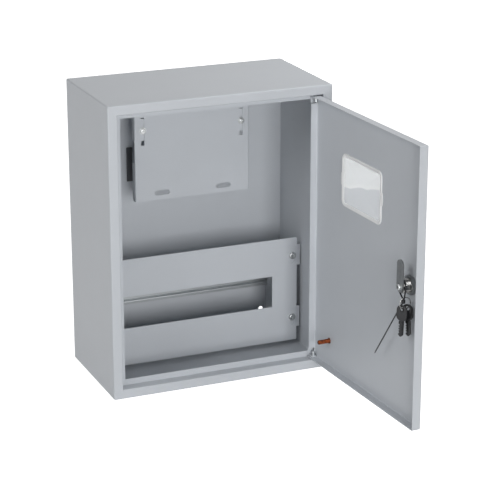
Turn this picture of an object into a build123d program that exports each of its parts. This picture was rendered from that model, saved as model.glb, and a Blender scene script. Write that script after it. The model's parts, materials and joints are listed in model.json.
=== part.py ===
from build123d import *
from math import cos, radians, sin, sqrt
import os

# Wall-mounted sheet-steel enclosure for a meter and a row of modules, with a windowed, lockable door.
# Lengths are in millimetres. X runs to the right, Z up, and the front faces -Y.
# The wall plane is Y = 0, and the origin is the middle of the four wall holes.

# Body and back panel
body_width = 310.0
body_height = 395.0
body_depth = 165.0
sheet = 1.0
fold_inside = 1.0
frame_width = 13.0
frame_edge_radius = 1.5
recess_depth = 15.0
stop_width = 8.0
hinge_stop_width = 11.0
weld_gap = 0.1
back_sheet = 1.0
wall_hole = 7.0
wall_hole_side = 31.0
wall_hole_end = 32.5
knockout_diameter = 28.0
knockout_groove = 0.8
knockout_depth = 0.5
knockout_pitch = 52.0
knockout_count = 4

# Blanking plugs in the two rear cable slots
plug_width = 8.2
plug_length = 47.5
plug_lip = 1.2
plug_corner = 0.8
plug_flange = 1.2
plug_fit = 0.1
plug_spread = 140.0
plug_drop = 126.5

# Door and hinges
door_gap = 1.5
hinge_gap = 3.0
hinge_edge = 5.2
hinge_setback = 5.7
door_flange = 12.5
hinge_flange = 9.5
bevel_margin = 1.0
door_corner = 1.2
door_open_angle = 93.0
pin_diameter = 4.0
pin_run = 0.1
pin_press = 0.05
pin_collar = 6.4
pin_collar_height = 1.2
pin_tail = 6.0
pin_proud = 0.7
leaf_sheet = 1.5
leaf_gap = 0.3
leaf_nose = 4.2
leaf_side = 2.4
leaf_tab = 8.0
notch_gap = 1.0

# Window of the door
window_width = 102.0
window_height = 71.0
window_corner = 9.0
window_rim = 3.0
window_rim_height = 1.4
window_pane = 1.2
window_fit = 0.2
window_clip_length = 17.0
window_clip_width = 2.6
window_clip_height = 0.8
window_from_hinge = 122.0
window_drop = 96.0

# Cam lock
lock_from_free_edge = 28.7
lock_z = -1.0
lock_rosette = 23.0
lock_rosette_height = 2.4
barrel_diameter = 18.0
barrel_flats = 16.0
barrel_fit = 0.2
lock_nut_flats = 22.0
lock_nut_height = 6.0
plug_diameter = 11.0
plug_run = 0.08
plug_recess = 0.4
plug_square = 7.0
square_fit = 0.1
keyway_length = 7.0
keyway_width = 1.7
keyway_depth = 6.0
cam_width = 14.0
cam_reach = 35.0
cam_sheet = 2.0
cam_clear = 1.0
cam_seat = 0.3
cam_screw_head = 8.0
cam_screw_head_height = 2.8
cam_screw_shank = 4.0
cam_screw_length = 9.0

# Keys, their ring and the cable tie that hangs them on the lock
hang_gap = 0.3
tie_strap = 1.0
tie_width = 1.9
tie_cam_gap = 0.7
tie_drop = 13.8
tie_shift = 4.7
tie_head = 5.0
tie_head_width = 3.8
tie_tail = 114.0
tie_tail_angle = -53.8
ring_radius = 7.5
ring_wire = 1.2
ring_play = 0.8
ring_shift = 2.4
key_thickness = 2.0
key_spread = 8.0
key_hang = 1.5
key_turn = 30.0
key_bow_width = 14.5
key_bow_height = 21.0
key_bow_corner = 6.5
key_hole = 5.5
key_hole_edge = 2.4
key_blade_width = 6.4
key_blade_length = 20.0
key_cut = 1.4
key_cut_count = 4
key_tip = 2.2
key_tilts = (2.0, -3.0)

# Earth studs
stud_diameter = 6.0
stud_length = 17.0
stud_weld_diameter = 8.0
stud_weld_height = 0.8
stud_chamfer = 0.7
door_stud_from_hinge = 42.0
door_stud_rise = 35.5
body_stud_side = 55.0
body_stud_rise = 35.8

# Meter panel and its brackets
meter_front = 57.5
meter_width = 164.0
meter_height = 130.0
meter_top_gap = 33.0
meter_flange = 10.0
meter_notch = 30.0
meter_notch_rise = 67.5
meter_slot_width = 4.6
meter_slot_length = 38.0
meter_slot_edge = 11.6
meter_slot_rise = 96.0
meter_fix_length = 21.7
meter_fix_width = 6.5
meter_fix_spread = 88.6
meter_fix_rise = 9.3
meter_screw_rise = 97.0
meter_ear_rise = 98.0
bracket_sheet = 1.2
meter_ear_height = 30.0
meter_ear_width = 18.0
meter_foot_width = 13.0
meter_web_inset = 9.0
meter_washer = 9.4
meter_washer_height = 0.8
meter_screw_head = 7.4
meter_screw_head_height = 2.6
meter_screw_shank = 4.0
meter_screw_length = 10.0
meter_nut_flats = 7.0
meter_nut_height = 3.0
screw_fit = 0.25
screw_dome = 0.45
recess_span = 0.55
recess_arm = 0.12
recess_sink = 0.5

# Module cover, its brackets and the mounting rail
cover_front = 74.0
cover_side_gap = 8.0
cover_height = 150.5
cover_bottom_gap = 8.45
cover_corner = 1.5
module_slot_width = 220.0
module_slot_height = 45.0
cover_screw_edge = 6.7
cover_screw_pitch = 90.8
cover_screw_rise = 4.2
cover_slot_width = 5.4
cover_slot_drop = 9.0
cover_screw_head = 9.6
cover_screw_head_height = 3.2
cover_screw_shank = 4.8
cover_screw_length = 8.0
cover_ear_height = 30.0
cover_ear_width = 21.0
cover_foot_width = 12.0
cover_web_inset = 9.3
bracket_taper = 36.0
rail_notch_gap = 1.0
rail_height = 35.0
rail_depth = 7.5
rail_base = 25.0
rail_sheet = 1.0
rail_side_gap = 9.0
rail_slot_length = 15.0
rail_slot_width = 6.2
rail_slot_pitch = 25.0
rail_slot_count = 10
rail_rivet_end = 21.0
rivet_diameter = 4.0
rivet_head = 7.0
rivet_head_height = 1.2
rivet_fit = 0.05
rivet_dome = 0.7

# Derived planes and places
fold = fold_inside + sheet
front_plane = Plane.XZ.offset(body_depth)
recess_width = body_width - 2 * frame_width
recess_height = body_height - 2 * frame_width
opening_width = recess_width - stop_width - hinge_stop_width
opening_height = recess_height - 2 * stop_width
opening_mid = (stop_width - hinge_stop_width) / 2
pivot_x = recess_width / 2 - hinge_gap - hinge_edge
pivot_y = hinge_setback - body_depth
door_top = recess_height / 2 - door_gap
door_free = door_gap - recess_width / 2 - pivot_x
door_width = hinge_edge - door_free
door_mid = (hinge_edge + door_free) / 2
leaf_top = door_top - sheet - leaf_gap
leaf_reach = recess_depth - hinge_setback
notch_length = sheet + leaf_gap + leaf_sheet + leaf_tab + notch_gap
lock_x = door_free + lock_from_free_edge
window_x = hinge_edge - window_from_hinge
window_z = door_top - window_drop
cam_inset = recess_depth + sheet + cam_clear
barrel_length = cam_inset - cam_seat

wall_pitch_x = body_width - 2 * wall_hole_side
wall_pitch_z = body_height - 2 * wall_hole_end
meter_bottom = body_height / 2 - meter_top_gap - meter_height
meter_slot_spread = meter_width - 2 * meter_slot_edge
meter_screw_z = meter_bottom + meter_screw_rise
cover_width = body_width - 2 * cover_side_gap
cover_z = cover_bottom_gap + (cover_height - body_height) / 2
cover_screw_spread = cover_width - 2 * cover_screw_edge
cover_screw_mid = cover_z + cover_screw_rise
cover_web_x = cover_screw_spread / 2 - cover_web_inset
body_stud_x = body_stud_side - body_width / 2
rail_z = cover_screw_mid
rail_length = body_width - 2 * rail_side_gap
rail_rivet_spread = rail_length - 2 * rail_rivet_end

# The door's planes at its open angle: parallel to its face, and in plan, both through the hinge axis
turn = radians(door_open_angle)
hinge_point = (pivot_x, pivot_y, 0)
along_door = (cos(turn), sin(turn), 0)
door_out = (sin(turn), -cos(turn), 0)
door_face = Plane(origin=hinge_point, x_dir=along_door, z_dir=door_out).offset(hinge_setback)
door_plan = Plane(origin=hinge_point, x_dir=along_door, z_dir=(0, 0, 1))
door_axis = Axis(hinge_point, door_out)


def door_spot(x, z, inset=0.0, spin=0.0):
    """Plane parallel to the door's face at a spot on it, set in from the outer face and spun in its plane."""
    flat = door_face.offset(-inset)
    spot_x = flat.x_dir * cos(radians(spin)) + flat.y_dir * sin(radians(spin))
    return Plane(origin=flat.from_local_coords((x, z, 0)), x_dir=spot_x, z_dir=flat.z_dir)


def inner_spot(x, z, inset):
    """Plane at a spot on the door that faces inwards, set in from the outer face."""
    outer = door_spot(x, z, inset)
    return Plane(origin=outer.origin, x_dir=outer.x_dir, z_dir=-outer.z_dir)


def pan_screws(face, spots, head, head_height, shank, length):
    """Pan-head screws with a cross recess, their heads standing on a face at the given spots."""
    with BuildPart() as screws:
        with BuildSketch(face):
            with Locations(*spots):
                Circle(head / 2)
        extrude(amount=head_height)
        tops = faces().group_by(Axis(face.origin, face.z_dir))[-1]
        fillet(tops.edges(), head_height * screw_dome)
        with BuildSketch(face.offset(head_height)):
            with Locations(*spots):
                Rectangle(head * recess_span, head * recess_arm)
                Rectangle(head * recess_arm, head * recess_span)
        extrude(amount=-head_height * recess_sink, mode=Mode.SUBTRACT)
        with BuildSketch(face):
            with Locations(*spots):
                Circle(shank / 2)
        extrude(amount=-length)
    return screws


def folded_section(points, thickness):
    """Section of a folded sheet strip, drawn along its centreline in the sketch at hand."""
    with BuildLine() as middle:
        FilletPolyline(*points, radius=fold_inside + thickness / 2)
    trace(middle.edges(), line_width=thickness)


pieces = {}

# Body: four sides, front frame, recess for the door and the stop behind it, folded from one sheet
with BuildPart() as body_shell:
    with BuildSketch(Plane.XZ):
        Rectangle(body_width, body_height)
    extrude(amount=body_depth)
    fillet(edges().filter_by(Axis.Y), fold)
    fillet(faces().sort_by(Axis.Y)[0].edges(), fold)
    offset(amount=-sheet, openings=faces().sort_by(Axis.Y)[-1])
    with BuildSketch(front_plane):
        Rectangle(recess_width, recess_height)
    extrude(amount=-sheet, mode=Mode.SUBTRACT)
    with BuildSketch(front_plane):
        Rectangle(recess_width + 2 * sheet, recess_height + 2 * sheet)
        Rectangle(recess_width, recess_height, mode=Mode.SUBTRACT)
    extrude(amount=-recess_depth - sheet)
    with BuildSketch(front_plane.offset(-recess_depth)):
        Rectangle(recess_width + 2 * sheet, recess_height + 2 * sheet)
        with Locations((opening_mid, 0)):
            Rectangle(opening_width, opening_height, mode=Mode.SUBTRACT)
    extrude(amount=-sheet)
    frame_face = faces().sort_by(Axis.Y)[0]
    fillet(frame_face.inner_wires()[0].edges(), frame_edge_radius)
    # Round knock-outs scored into the underside for the cables
    with BuildSketch(Plane.XY.offset(-body_height / 2)):
        with Locations((0, -body_depth / 2)):
            with GridLocations(knockout_pitch, 1, knockout_count, 1):
                Circle(knockout_diameter / 2)
                Circle(knockout_diameter / 2 - knockout_groove, mode=Mode.SUBTRACT)
    extrude(amount=knockout_depth, mode=Mode.SUBTRACT)
pieces["body_shell"] = body_shell

# Back panel with the wall holes, the cable slots and the rail's rivet holes
plug_z = body_height / 2 - plug_drop
plug_spots = ((-plug_spread / 2, plug_z), (plug_spread / 2, plug_z))
rivet_spots = ((-rail_rivet_spread / 2, rail_z), (rail_rivet_spread / 2, rail_z))
with BuildPart() as back_panel:
    with BuildSketch(Plane.XZ):
        panel_inset = 2 * (sheet + weld_gap)
        RectangleRounded(body_width - panel_inset, body_height - panel_inset, fold_inside)
        with GridLocations(wall_pitch_x, wall_pitch_z, 2, 2):
            Circle(wall_hole / 2, mode=Mode.SUBTRACT)
        with Locations(*plug_spots):
            Rectangle(plug_width - 2 * plug_lip, plug_length - 2 * plug_lip, mode=Mode.SUBTRACT)
        with Locations(*rivet_spots):
            Circle(rivet_diameter / 2 + rivet_fit, mode=Mode.SUBTRACT)
    extrude(amount=back_sheet)
pieces["back_panel"] = back_panel

# Blanking plugs: a body in each slot and a flange on the inside of the panel
with BuildPart() as cable_plugs:
    with BuildSketch(Plane.XZ):
        plug_inset = 2 * (plug_lip + plug_fit)
        with Locations(*plug_spots):
            Rectangle(plug_width - plug_inset, plug_length - plug_inset)
    extrude(amount=back_sheet)
    with BuildSketch(Plane.XZ.offset(back_sheet)):
        with Locations(*plug_spots):
            RectangleRounded(plug_width, plug_length, plug_corner)
    extrude(amount=plug_flange)
pieces["cable_plugs"] = cable_plugs

# Hinge leaves welded to the stop, each with its pin through the door's flange
for end, side in (("upper", 1), ("lower", -1)):
    with BuildPart() as hinge_leaf:
        with BuildSketch(Plane.XY.offset(side * leaf_top)):
            with Locations((pivot_x, pivot_y)):
                Circle(leaf_nose)
            with Locations((pivot_x + leaf_side, pivot_y)):
                Rectangle(leaf_nose + leaf_side, leaf_reach, align=(Align.MAX, Align.MIN))
            with Locations((pivot_x, pivot_y)):
                Circle(pin_diameter / 2 + pin_press, mode=Mode.SUBTRACT)
        extrude(amount=-side * leaf_sheet)
        with BuildSketch(Plane.XY.offset(side * (leaf_top - leaf_sheet))):
            with Locations((pivot_x + leaf_side, pivot_y + leaf_reach)):
                Rectangle(leaf_nose + leaf_side, leaf_sheet, align=(Align.MAX, Align.MAX))
        extrude(amount=-side * leaf_tab)
    pieces[f"hinge_leaf_{end}"] = hinge_leaf

    with BuildPart() as hinge_pin:
        with BuildSketch(Plane.XY.offset(side * (door_top + pin_proud))):
            with Locations((pivot_x, pivot_y)):
                Circle(pin_diameter / 2)
        extrude(amount=-side * (pin_proud + sheet + leaf_gap + leaf_sheet + pin_tail))
        chamfer(faces().filter_by(Axis.Z).edges(), pin_proud / 2)
        with BuildSketch(Plane.XY.offset(side * (leaf_top - leaf_sheet))):
            with Locations((pivot_x, pivot_y)):
                Circle(pin_collar / 2)
        extrude(amount=-side * pin_collar_height)
    pieces[f"hinge_pin_{end}"] = hinge_pin

# Door: a tray with flanges all round, cut back at the hinge side and notched for the leaves
with BuildPart() as door_panel:
    with BuildSketch(door_face):
        with Locations((door_mid, 0)):
            Rectangle(door_width, 2 * door_top)
    extrude(amount=-door_flange)
    fillet(edges().filter_by(door_axis), door_corner)
    fillet(faces().sort_by(door_axis)[-1].edges(), fold)
    offset(amount=-sheet, openings=faces().sort_by(door_axis)[0])
    # The bevel that lets the hinge side swing past the stop
    bevel = door_flange - hinge_flange
    bevel_run = bevel + bevel_margin
    tip_y = door_flange - hinge_setback
    with BuildSketch(door_plan.offset(-door_top)):
        with BuildLine():
            Polyline(
                (hinge_edge + bevel_margin, tip_y - bevel_run),
                (hinge_edge + bevel_margin, tip_y + bevel_margin),
                (hinge_edge - bevel_run, tip_y + bevel_margin),
                close=True,
            )
        make_face()
    extrude(amount=2 * door_top, mode=Mode.SUBTRACT)
    for side in (1, -1):
        with BuildSketch(door_plan.offset(side * (door_top - sheet))):
            with Locations((hinge_edge - sheet, sheet - hinge_setback)):
                Rectangle(2 * sheet, door_flange, align=(Align.MIN, Align.MIN))
        extrude(amount=-side * (notch_length - sheet), mode=Mode.SUBTRACT)
    with BuildSketch(Plane.XY.offset(-door_top)):
        with Locations((pivot_x, pivot_y)):
            Circle(pin_diameter / 2 + pin_run)
    extrude(amount=2 * door_top, mode=Mode.SUBTRACT)
    with BuildSketch(door_face):
        with Locations((window_x, window_z)):
            RectangleRounded(
                window_width - 2 * window_rim, window_height - 2 * window_rim, window_corner - window_rim
            )
    extrude(amount=-sheet, mode=Mode.SUBTRACT)
    with BuildSketch(door_spot(lock_x, lock_z)):
        Circle(barrel_diameter / 2 + barrel_fit)
        Rectangle(barrel_flats + 2 * barrel_fit, 2 * barrel_diameter, mode=Mode.INTERSECT)
    extrude(amount=-sheet, mode=Mode.SUBTRACT)
pieces["door_panel"] = door_panel

# Window: one clear moulding, flush outside, with a rim and two clips on the inside
with BuildPart() as window:
    with BuildSketch(door_spot(window_x, window_z)):
        pane_inset = 2 * (window_rim + window_fit)
        RectangleRounded(
            window_width - pane_inset, window_height - pane_inset, window_corner - window_rim
        )
    extrude(amount=-sheet)
    with BuildSketch(door_spot(window_x, window_z, sheet)):
        RectangleRounded(window_width, window_height, window_corner)
    extrude(amount=-window_rim_height)
    with BuildSketch(door_spot(window_x, window_z, window_pane)):
        rim_inset = 2 * (window_rim + window_fit + window_pane)
        RectangleRounded(
            window_width - rim_inset, window_height - rim_inset, window_corner - window_rim
        )
    extrude(amount=window_pane - sheet - window_rim_height, mode=Mode.SUBTRACT)
    with BuildSketch(door_spot(window_x, window_z, sheet)):
        with GridLocations(window_width, 1, 2, 1):
            RectangleRounded(2 * window_clip_width, window_clip_length, window_clip_width / 2)
        Rectangle(window_width - rim_inset, window_height, mode=Mode.SUBTRACT)
    extrude(amount=-window_clip_height)
pieces["window"] = window

# Copper-plated earth studs welded to the door and to the back panel
for body_name, stud_plane in (
    ("door", inner_spot(hinge_edge - door_stud_from_hinge, door_stud_rise - door_top, sheet)),
    ("body", Plane.XZ.offset(back_sheet).shift_origin((body_stud_x, -back_sheet, cover_z + body_stud_rise))),
):
    with BuildPart() as earth_stud:
        with BuildSketch(stud_plane):
            Circle(stud_diameter / 2)
        extrude(amount=stud_length)
        chamfer(faces().sort_by(Axis(stud_plane.origin, stud_plane.z_dir))[-1].edges(), stud_chamfer)
        with BuildSketch(stud_plane):
            Circle(stud_weld_diameter / 2)
        extrude(amount=stud_weld_height)
    pieces[f"{body_name}_earth_stud"] = earth_stud

# Cam lock: housing and nut on the door, plug, cam and screw turning together
lock_spot = door_spot(lock_x, lock_z)
lock_axis = Axis(lock_spot.origin, lock_spot.z_dir)
with BuildPart() as lock_housing:
    with BuildSketch(lock_spot):
        Circle(lock_rosette / 2)
    extrude(amount=lock_rosette_height)
    fillet(faces().sort_by(lock_axis)[-1].edges(), lock_rosette_height / 2)
    with BuildSketch(lock_spot):
        Circle(barrel_diameter / 2)
        Rectangle(barrel_flats, 2 * barrel_diameter, mode=Mode.INTERSECT)
    extrude(amount=-barrel_length)
    with BuildSketch(lock_spot.offset(lock_rosette_height)):
        Circle(plug_diameter / 2 + plug_run)
    extrude(amount=-barrel_length - lock_rosette_height, mode=Mode.SUBTRACT)
pieces["lock_housing"] = lock_housing

with BuildPart() as lock_nut:
    with BuildSketch(lock_spot.offset(-sheet)):
        RegularPolygon(lock_nut_flats / 2, 6, major_radius=False)
        Circle(barrel_diameter / 2 + barrel_fit, mode=Mode.SUBTRACT)
    extrude(amount=-lock_nut_height)
pieces["lock_nut"] = lock_nut

with BuildPart() as lock_plug:
    with BuildSketch(lock_spot.offset(lock_rosette_height - plug_recess)):
        Circle(plug_diameter / 2)
    extrude(amount=plug_recess - lock_rosette_height - cam_inset)
    with BuildSketch(lock_spot.offset(-cam_inset)):
        Rectangle(plug_square, plug_square)
    extrude(amount=-cam_sheet)
    with BuildSketch(lock_spot.offset(lock_rosette_height - plug_recess)):
        Rectangle(keyway_width, keyway_length)
    extrude(amount=-keyway_depth, mode=Mode.SUBTRACT)
    with BuildSketch(lock_spot.offset(-cam_inset - cam_sheet)):
        Circle(cam_screw_shank / 2 + square_fit)
    extrude(amount=cam_screw_length, mode=Mode.SUBTRACT)
pieces["lock_plug"] = lock_plug

with BuildPart() as lock_cam:
    with BuildSketch(lock_spot.offset(-cam_inset)):
        with Locations((0, (cam_reach - cam_width / 2) / 2)):
            SlotCenterToCenter(cam_reach - cam_width / 2, cam_width, rotation=90)
        Rectangle(plug_square + 2 * square_fit, plug_square + 2 * square_fit, mode=Mode.SUBTRACT)
    extrude(amount=-cam_sheet)
pieces["lock_cam"] = lock_cam

cam_back = inner_spot(lock_x, lock_z, cam_inset + cam_sheet)
pieces["cam_screw"] = pan_screws(
    cam_back, ((0, 0),), cam_screw_head, cam_screw_head_height, cam_screw_shank, cam_screw_length - cam_sheet
)

# Cable tie: a strap round the lock's barrel, its head below and a straight tail
tie_inset = cam_inset - tie_cam_gap - tie_width
tie_spot = door_spot(lock_x, lock_z, tie_inset)
strap_inside = barrel_diameter / 2 + hang_gap
seat_radius = ring_wire / 2 + ring_play
head_z = -tie_drop - seat_radius - tie_strap / 2 - tie_head / 2
with BuildPart() as cable_tie:
    with BuildSketch(tie_spot):
        Circle(strap_inside + tie_strap)
        with Locations((-tie_shift, -tie_drop)):
            Circle(seat_radius + tie_strap)
        make_hull()
    extrude(amount=-tie_width)
    with BuildSketch(tie_spot):
        Circle(strap_inside)
        with Locations((-tie_shift, -tie_drop)):
            Circle(seat_radius)
        make_hull()
    extrude(amount=-tie_width, mode=Mode.SUBTRACT)
    with BuildSketch(tie_spot):
        with Locations(Location((-tie_shift, head_z, 0), (0, 0, tie_tail_angle))):
            Rectangle(tie_tail, tie_strap, align=(Align.MIN, Align.CENTER))
    extrude(amount=-tie_width)
    with BuildSketch(tie_spot.offset((tie_head_width - tie_width) / 2)):
        with Locations((-tie_shift, head_z)):
            RectangleRounded(tie_head, tie_head, tie_strap / 2)
    extrude(amount=-tie_head_width)
pieces["cable_tie"] = cable_tie

# Key ring: hangs in the tie's seat, its plane square to the door and its middle nearer to the door
ring_rise = sqrt(ring_radius**2 - ring_shift**2)
ring_inset = tie_inset + tie_width / 2 - ring_shift
ring_mid_z = lock_z - tie_drop - ring_rise
ring_origin = door_spot(lock_x - tie_shift, ring_mid_z, ring_inset).origin
with BuildPart(Plane(origin=ring_origin, x_dir=door_out, z_dir=along_door)) as key_ring:
    Torus(ring_radius, ring_wire / 2)
pieces["key_ring"] = key_ring

# Two keys spread along the ring and turned on it: black bows and steel blades
wire_z = ring_mid_z - sqrt(ring_radius**2 - (key_spread / 2) ** 2)
hole_z = wire_z + ring_wire / 2 + key_hang - key_hole / 2
bow_drop = key_hole / 2 + key_hole_edge - key_bow_height / 2
key_planes = []
for side, tilt in zip((1, -1), key_tilts):
    hung = door_spot(lock_x - tie_shift, hole_z, ring_inset + side * key_spread / 2)
    key_face = hung.z_dir * cos(radians(key_turn)) + hung.x_dir * sin(radians(key_turn))
    key_across = hung.x_dir * cos(radians(key_turn)) - hung.z_dir * sin(radians(key_turn))
    key_x = key_across * cos(radians(tilt)) + hung.y_dir * sin(radians(tilt))
    key_planes.append(Plane(origin=hung.origin, x_dir=key_x, z_dir=key_face))
with BuildPart() as key_bows:
    for key_plane in key_planes:
        with BuildSketch(key_plane):
            with Locations((0, bow_drop)):
                RectangleRounded(key_bow_width, key_bow_height, key_bow_corner)
            Circle(key_hole / 2, mode=Mode.SUBTRACT)
        extrude(amount=key_thickness / 2, both=True)
pieces["key_bows"] = key_bows

blade_top = bow_drop - key_bow_height / 2
cut_pitch = key_blade_length / (key_cut_count + 2)
with BuildPart() as key_blades:
    for key_plane in key_planes:
        with BuildSketch(key_plane):
            with Locations((0, blade_top)):
                Rectangle(key_blade_width, key_blade_length, align=(Align.CENTER, Align.MAX))
            chamfer(vertices().group_by(Axis.Y)[0], key_tip)
            for cut in range(key_cut_count):
                with Locations((key_blade_width / 2, blade_top - (cut + 1.5) * cut_pitch)):
                    Circle(key_cut, mode=Mode.SUBTRACT)
        extrude(amount=key_thickness / 2, both=True)
pieces["key_blades"] = key_blades

# Meter panel: a plate with two flanges turned back, slots for its screws and for the meter's feet
meter_spots = ((-meter_slot_spread / 2, meter_screw_z), (meter_slot_spread / 2, meter_screw_z))
meter_rear = meter_front - sheet
with BuildPart() as meter_panel:
    with BuildSketch(Plane.XY.offset(meter_bottom)):
        flange_x = (meter_width - sheet) / 2
        plate_y = sheet / 2 - meter_front
        flange_y = meter_flange - meter_front
        folded_section(
            ((-flange_x, flange_y), (-flange_x, plate_y), (flange_x, plate_y), (flange_x, flange_y)), sheet
        )
    extrude(amount=meter_height)
    with BuildSketch(Plane.XZ.offset(meter_front)):
        with Locations((0, meter_bottom + meter_slot_rise)):
            with GridLocations(meter_slot_spread, 1, 2, 1):
                Rectangle(meter_slot_width, meter_slot_length)
        with Locations((0, meter_bottom + meter_fix_rise)):
            with GridLocations(meter_fix_spread, 1, 2, 1):
                SlotOverall(meter_fix_length, meter_fix_width)
    extrude(amount=-sheet, mode=Mode.SUBTRACT)
    with BuildSketch(Plane.YZ.offset(-meter_width)):
        with Locations((fold - meter_front, meter_bottom + meter_notch_rise)):
            Rectangle(meter_flange, meter_notch, align=(Align.MIN, Align.CENTER))
    extrude(amount=2 * meter_width, mode=Mode.SUBTRACT)
pieces["meter_panel"] = meter_panel

# Brackets that carry the meter panel: foot on the back panel, web, and an ear behind each slot
ear_low = meter_bottom + meter_ear_rise - meter_ear_height / 2
foot_y = -back_sheet - bracket_sheet / 2
meter_ear_y = bracket_sheet / 2 - meter_rear
for hand, side in (("left", -1), ("right", 1)):
    web_x = side * (meter_slot_spread / 2 - meter_web_inset)
    with BuildPart() as meter_bracket:
        with BuildSketch(Plane.XY.offset(ear_low)):
            folded_section(
                (
                    (web_x - side * meter_foot_width, foot_y),
                    (web_x, foot_y),
                    (web_x, meter_ear_y),
                    (web_x + side * meter_ear_width, meter_ear_y),
                ),
                bracket_sheet,
            )
        extrude(amount=meter_ear_height)
        with BuildSketch(Plane.XZ.offset(meter_rear)):
            with Locations((side * meter_slot_spread / 2, meter_screw_z)):
                Circle(meter_screw_shank / 2 + screw_fit)
        extrude(amount=-bracket_sheet, mode=Mode.SUBTRACT)
    pieces[f"meter_bracket_{hand}"] = meter_bracket

# Fixings of the meter panel: screw, washer and nut at each slot
with BuildPart() as meter_washers:
    with BuildSketch(Plane.XZ.offset(meter_front)):
        with Locations(*meter_spots):
            Circle(meter_washer / 2)
            Circle(meter_screw_shank / 2 + screw_fit, mode=Mode.SUBTRACT)
    extrude(amount=meter_washer_height)
pieces["meter_washers"] = meter_washers

pieces["meter_screws"] = pan_screws(
    Plane.XZ.offset(meter_front + meter_washer_height),
    meter_spots,
    meter_screw_head,
    meter_screw_head_height,
    meter_screw_shank,
    meter_screw_length,
)

with BuildPart() as meter_nuts:
    with BuildSketch(Plane.XZ.offset(meter_rear - bracket_sheet)):
        with Locations(*meter_spots):
            RegularPolygon(meter_nut_flats / 2, 6, major_radius=False)
            Circle(meter_screw_shank / 2 + screw_fit, mode=Mode.SUBTRACT)
    extrude(amount=-meter_nut_height)
pieces["meter_nuts"] = meter_nuts

# Module cover: a flat plate with the slot for the modules and a slot for each screw
cover_rear = cover_front - sheet
screw_low = cover_screw_mid - cover_screw_pitch / 2
screw_high = cover_screw_mid + cover_screw_pitch / 2
cover_spots = [
    (side * cover_screw_spread / 2, height) for side in (-1, 1) for height in (screw_low, screw_high)
]
slot_spots = [(x, z - cover_slot_drop / 2) for x, z in cover_spots]
with BuildPart() as module_cover:
    with BuildSketch(Plane.XZ.offset(cover_front)):
        with Locations((0, cover_z)):
            RectangleRounded(cover_width, cover_height, cover_corner)
            Rectangle(module_slot_width, module_slot_height, mode=Mode.SUBTRACT)
        with Locations(*slot_spots):
            SlotCenterToCenter(cover_slot_drop, cover_slot_width, rotation=90, mode=Mode.SUBTRACT)
    extrude(amount=-sheet)
pieces["module_cover"] = module_cover

# Brackets that carry the cover: foot on the back panel, web, and two ears turned outwards
bracket_low = screw_low - cover_ear_height / 2
bracket_high = screw_high + cover_ear_height / 2
ear_gap = cover_screw_pitch - cover_ear_height
cover_ear_y = bracket_sheet / 2 - cover_rear
for hand, side in (("left", -1), ("right", 1)):
    with BuildPart() as cover_bracket:
        with BuildSketch(Plane.XY.offset(bracket_low)):
            folded_section(
                (
                    (side * (cover_web_x + cover_foot_width), foot_y),
                    (side * cover_web_x, foot_y),
                    (side * cover_web_x, cover_ear_y),
                    (side * (cover_web_x + cover_ear_width), cover_ear_y),
                ),
                bracket_sheet,
            )
        extrude(amount=cover_screw_pitch + cover_ear_height)
        with BuildSketch(Plane.XZ.offset(cover_rear)):
            ear_start = side * (cover_web_x + bracket_sheet / 2 + fold_inside)
            ear_side = Align.MIN if side > 0 else Align.MAX
            with Locations((ear_start, cover_screw_mid)):
                Rectangle(cover_ear_width, ear_gap, align=(ear_side, Align.CENTER))
            with Locations(*[spot for spot in cover_spots if spot[0] * side > 0]):
                Circle(cover_screw_shank / 2 + screw_fit)
        extrude(amount=-bracket_sheet, mode=Mode.SUBTRACT)
        # The rail passes through a notch in the foot and the web, and the web tapers towards the wall
        with BuildSketch(Plane.YZ):
            with Locations((0, rail_z)):
                notch_depth = back_sheet + rail_depth + rail_notch_gap
                notch_height = rail_height + 2 * rail_notch_gap
                Rectangle(notch_depth, notch_height, align=(Align.MAX, Align.CENTER))
            with BuildLine():
                Polyline(
                    (0, bracket_high),
                    (bracket_sheet - cover_rear, bracket_high),
                    (0, bracket_high - bracket_taper),
                    close=True,
                )
            make_face()
        extrude(amount=side * body_width / 2, mode=Mode.SUBTRACT)
    pieces[f"cover_bracket_{hand}"] = cover_bracket

pieces["cover_screws"] = pan_screws(
    Plane.XZ.offset(cover_front),
    cover_spots,
    cover_screw_head,
    cover_screw_head_height,
    cover_screw_shank,
    cover_screw_length,
)

# Mounting rail: top-hat strip riveted to the back panel, slotted along its base
with BuildPart() as din_rail:
    with BuildSketch(Plane.YZ.offset(-rail_length / 2)):
        base_y = -back_sheet - rail_sheet / 2
        brim_y = rail_sheet / 2 - back_sheet - rail_depth
        wall_z = (rail_base + rail_sheet) / 2
        with BuildLine():
            FilletPolyline(
                (brim_y, rail_z - rail_height / 2),
                (brim_y, rail_z - wall_z),
                (base_y, rail_z - wall_z),
                (base_y, rail_z + wall_z),
                (brim_y, rail_z + wall_z),
                (brim_y, rail_z + rail_height / 2),
                radius=rail_sheet,
            )
        trace(line_width=rail_sheet)
    extrude(amount=rail_length)
    with BuildSketch(Plane.XZ.offset(back_sheet)):
        with Locations((0, rail_z)):
            with GridLocations(rail_slot_pitch, 1, rail_slot_count, 1):
                SlotOverall(rail_slot_length, rail_slot_width)
        with Locations(*rivet_spots):
            Circle(rivet_diameter / 2 + rivet_fit)
    extrude(amount=rail_sheet, mode=Mode.SUBTRACT)
pieces["din_rail"] = din_rail

# Rivets of the rail: domed heads in the rail's trough, shanks through to the wall face
with BuildPart() as rail_rivets:
    with BuildSketch(Plane.XZ.offset(back_sheet + rail_sheet)):
        with Locations(*rivet_spots):
            Circle(rivet_head / 2)
    extrude(amount=rivet_head_height)
    fillet(faces().group_by(Axis.Y)[0].edges(), rivet_dome)
    with BuildSketch(Plane.XZ):
        with Locations(*rivet_spots):
            Circle(rivet_diameter / 2)
    extrude(amount=back_sheet + rail_sheet)
pieces["rail_rivets"] = rail_rivets

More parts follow.
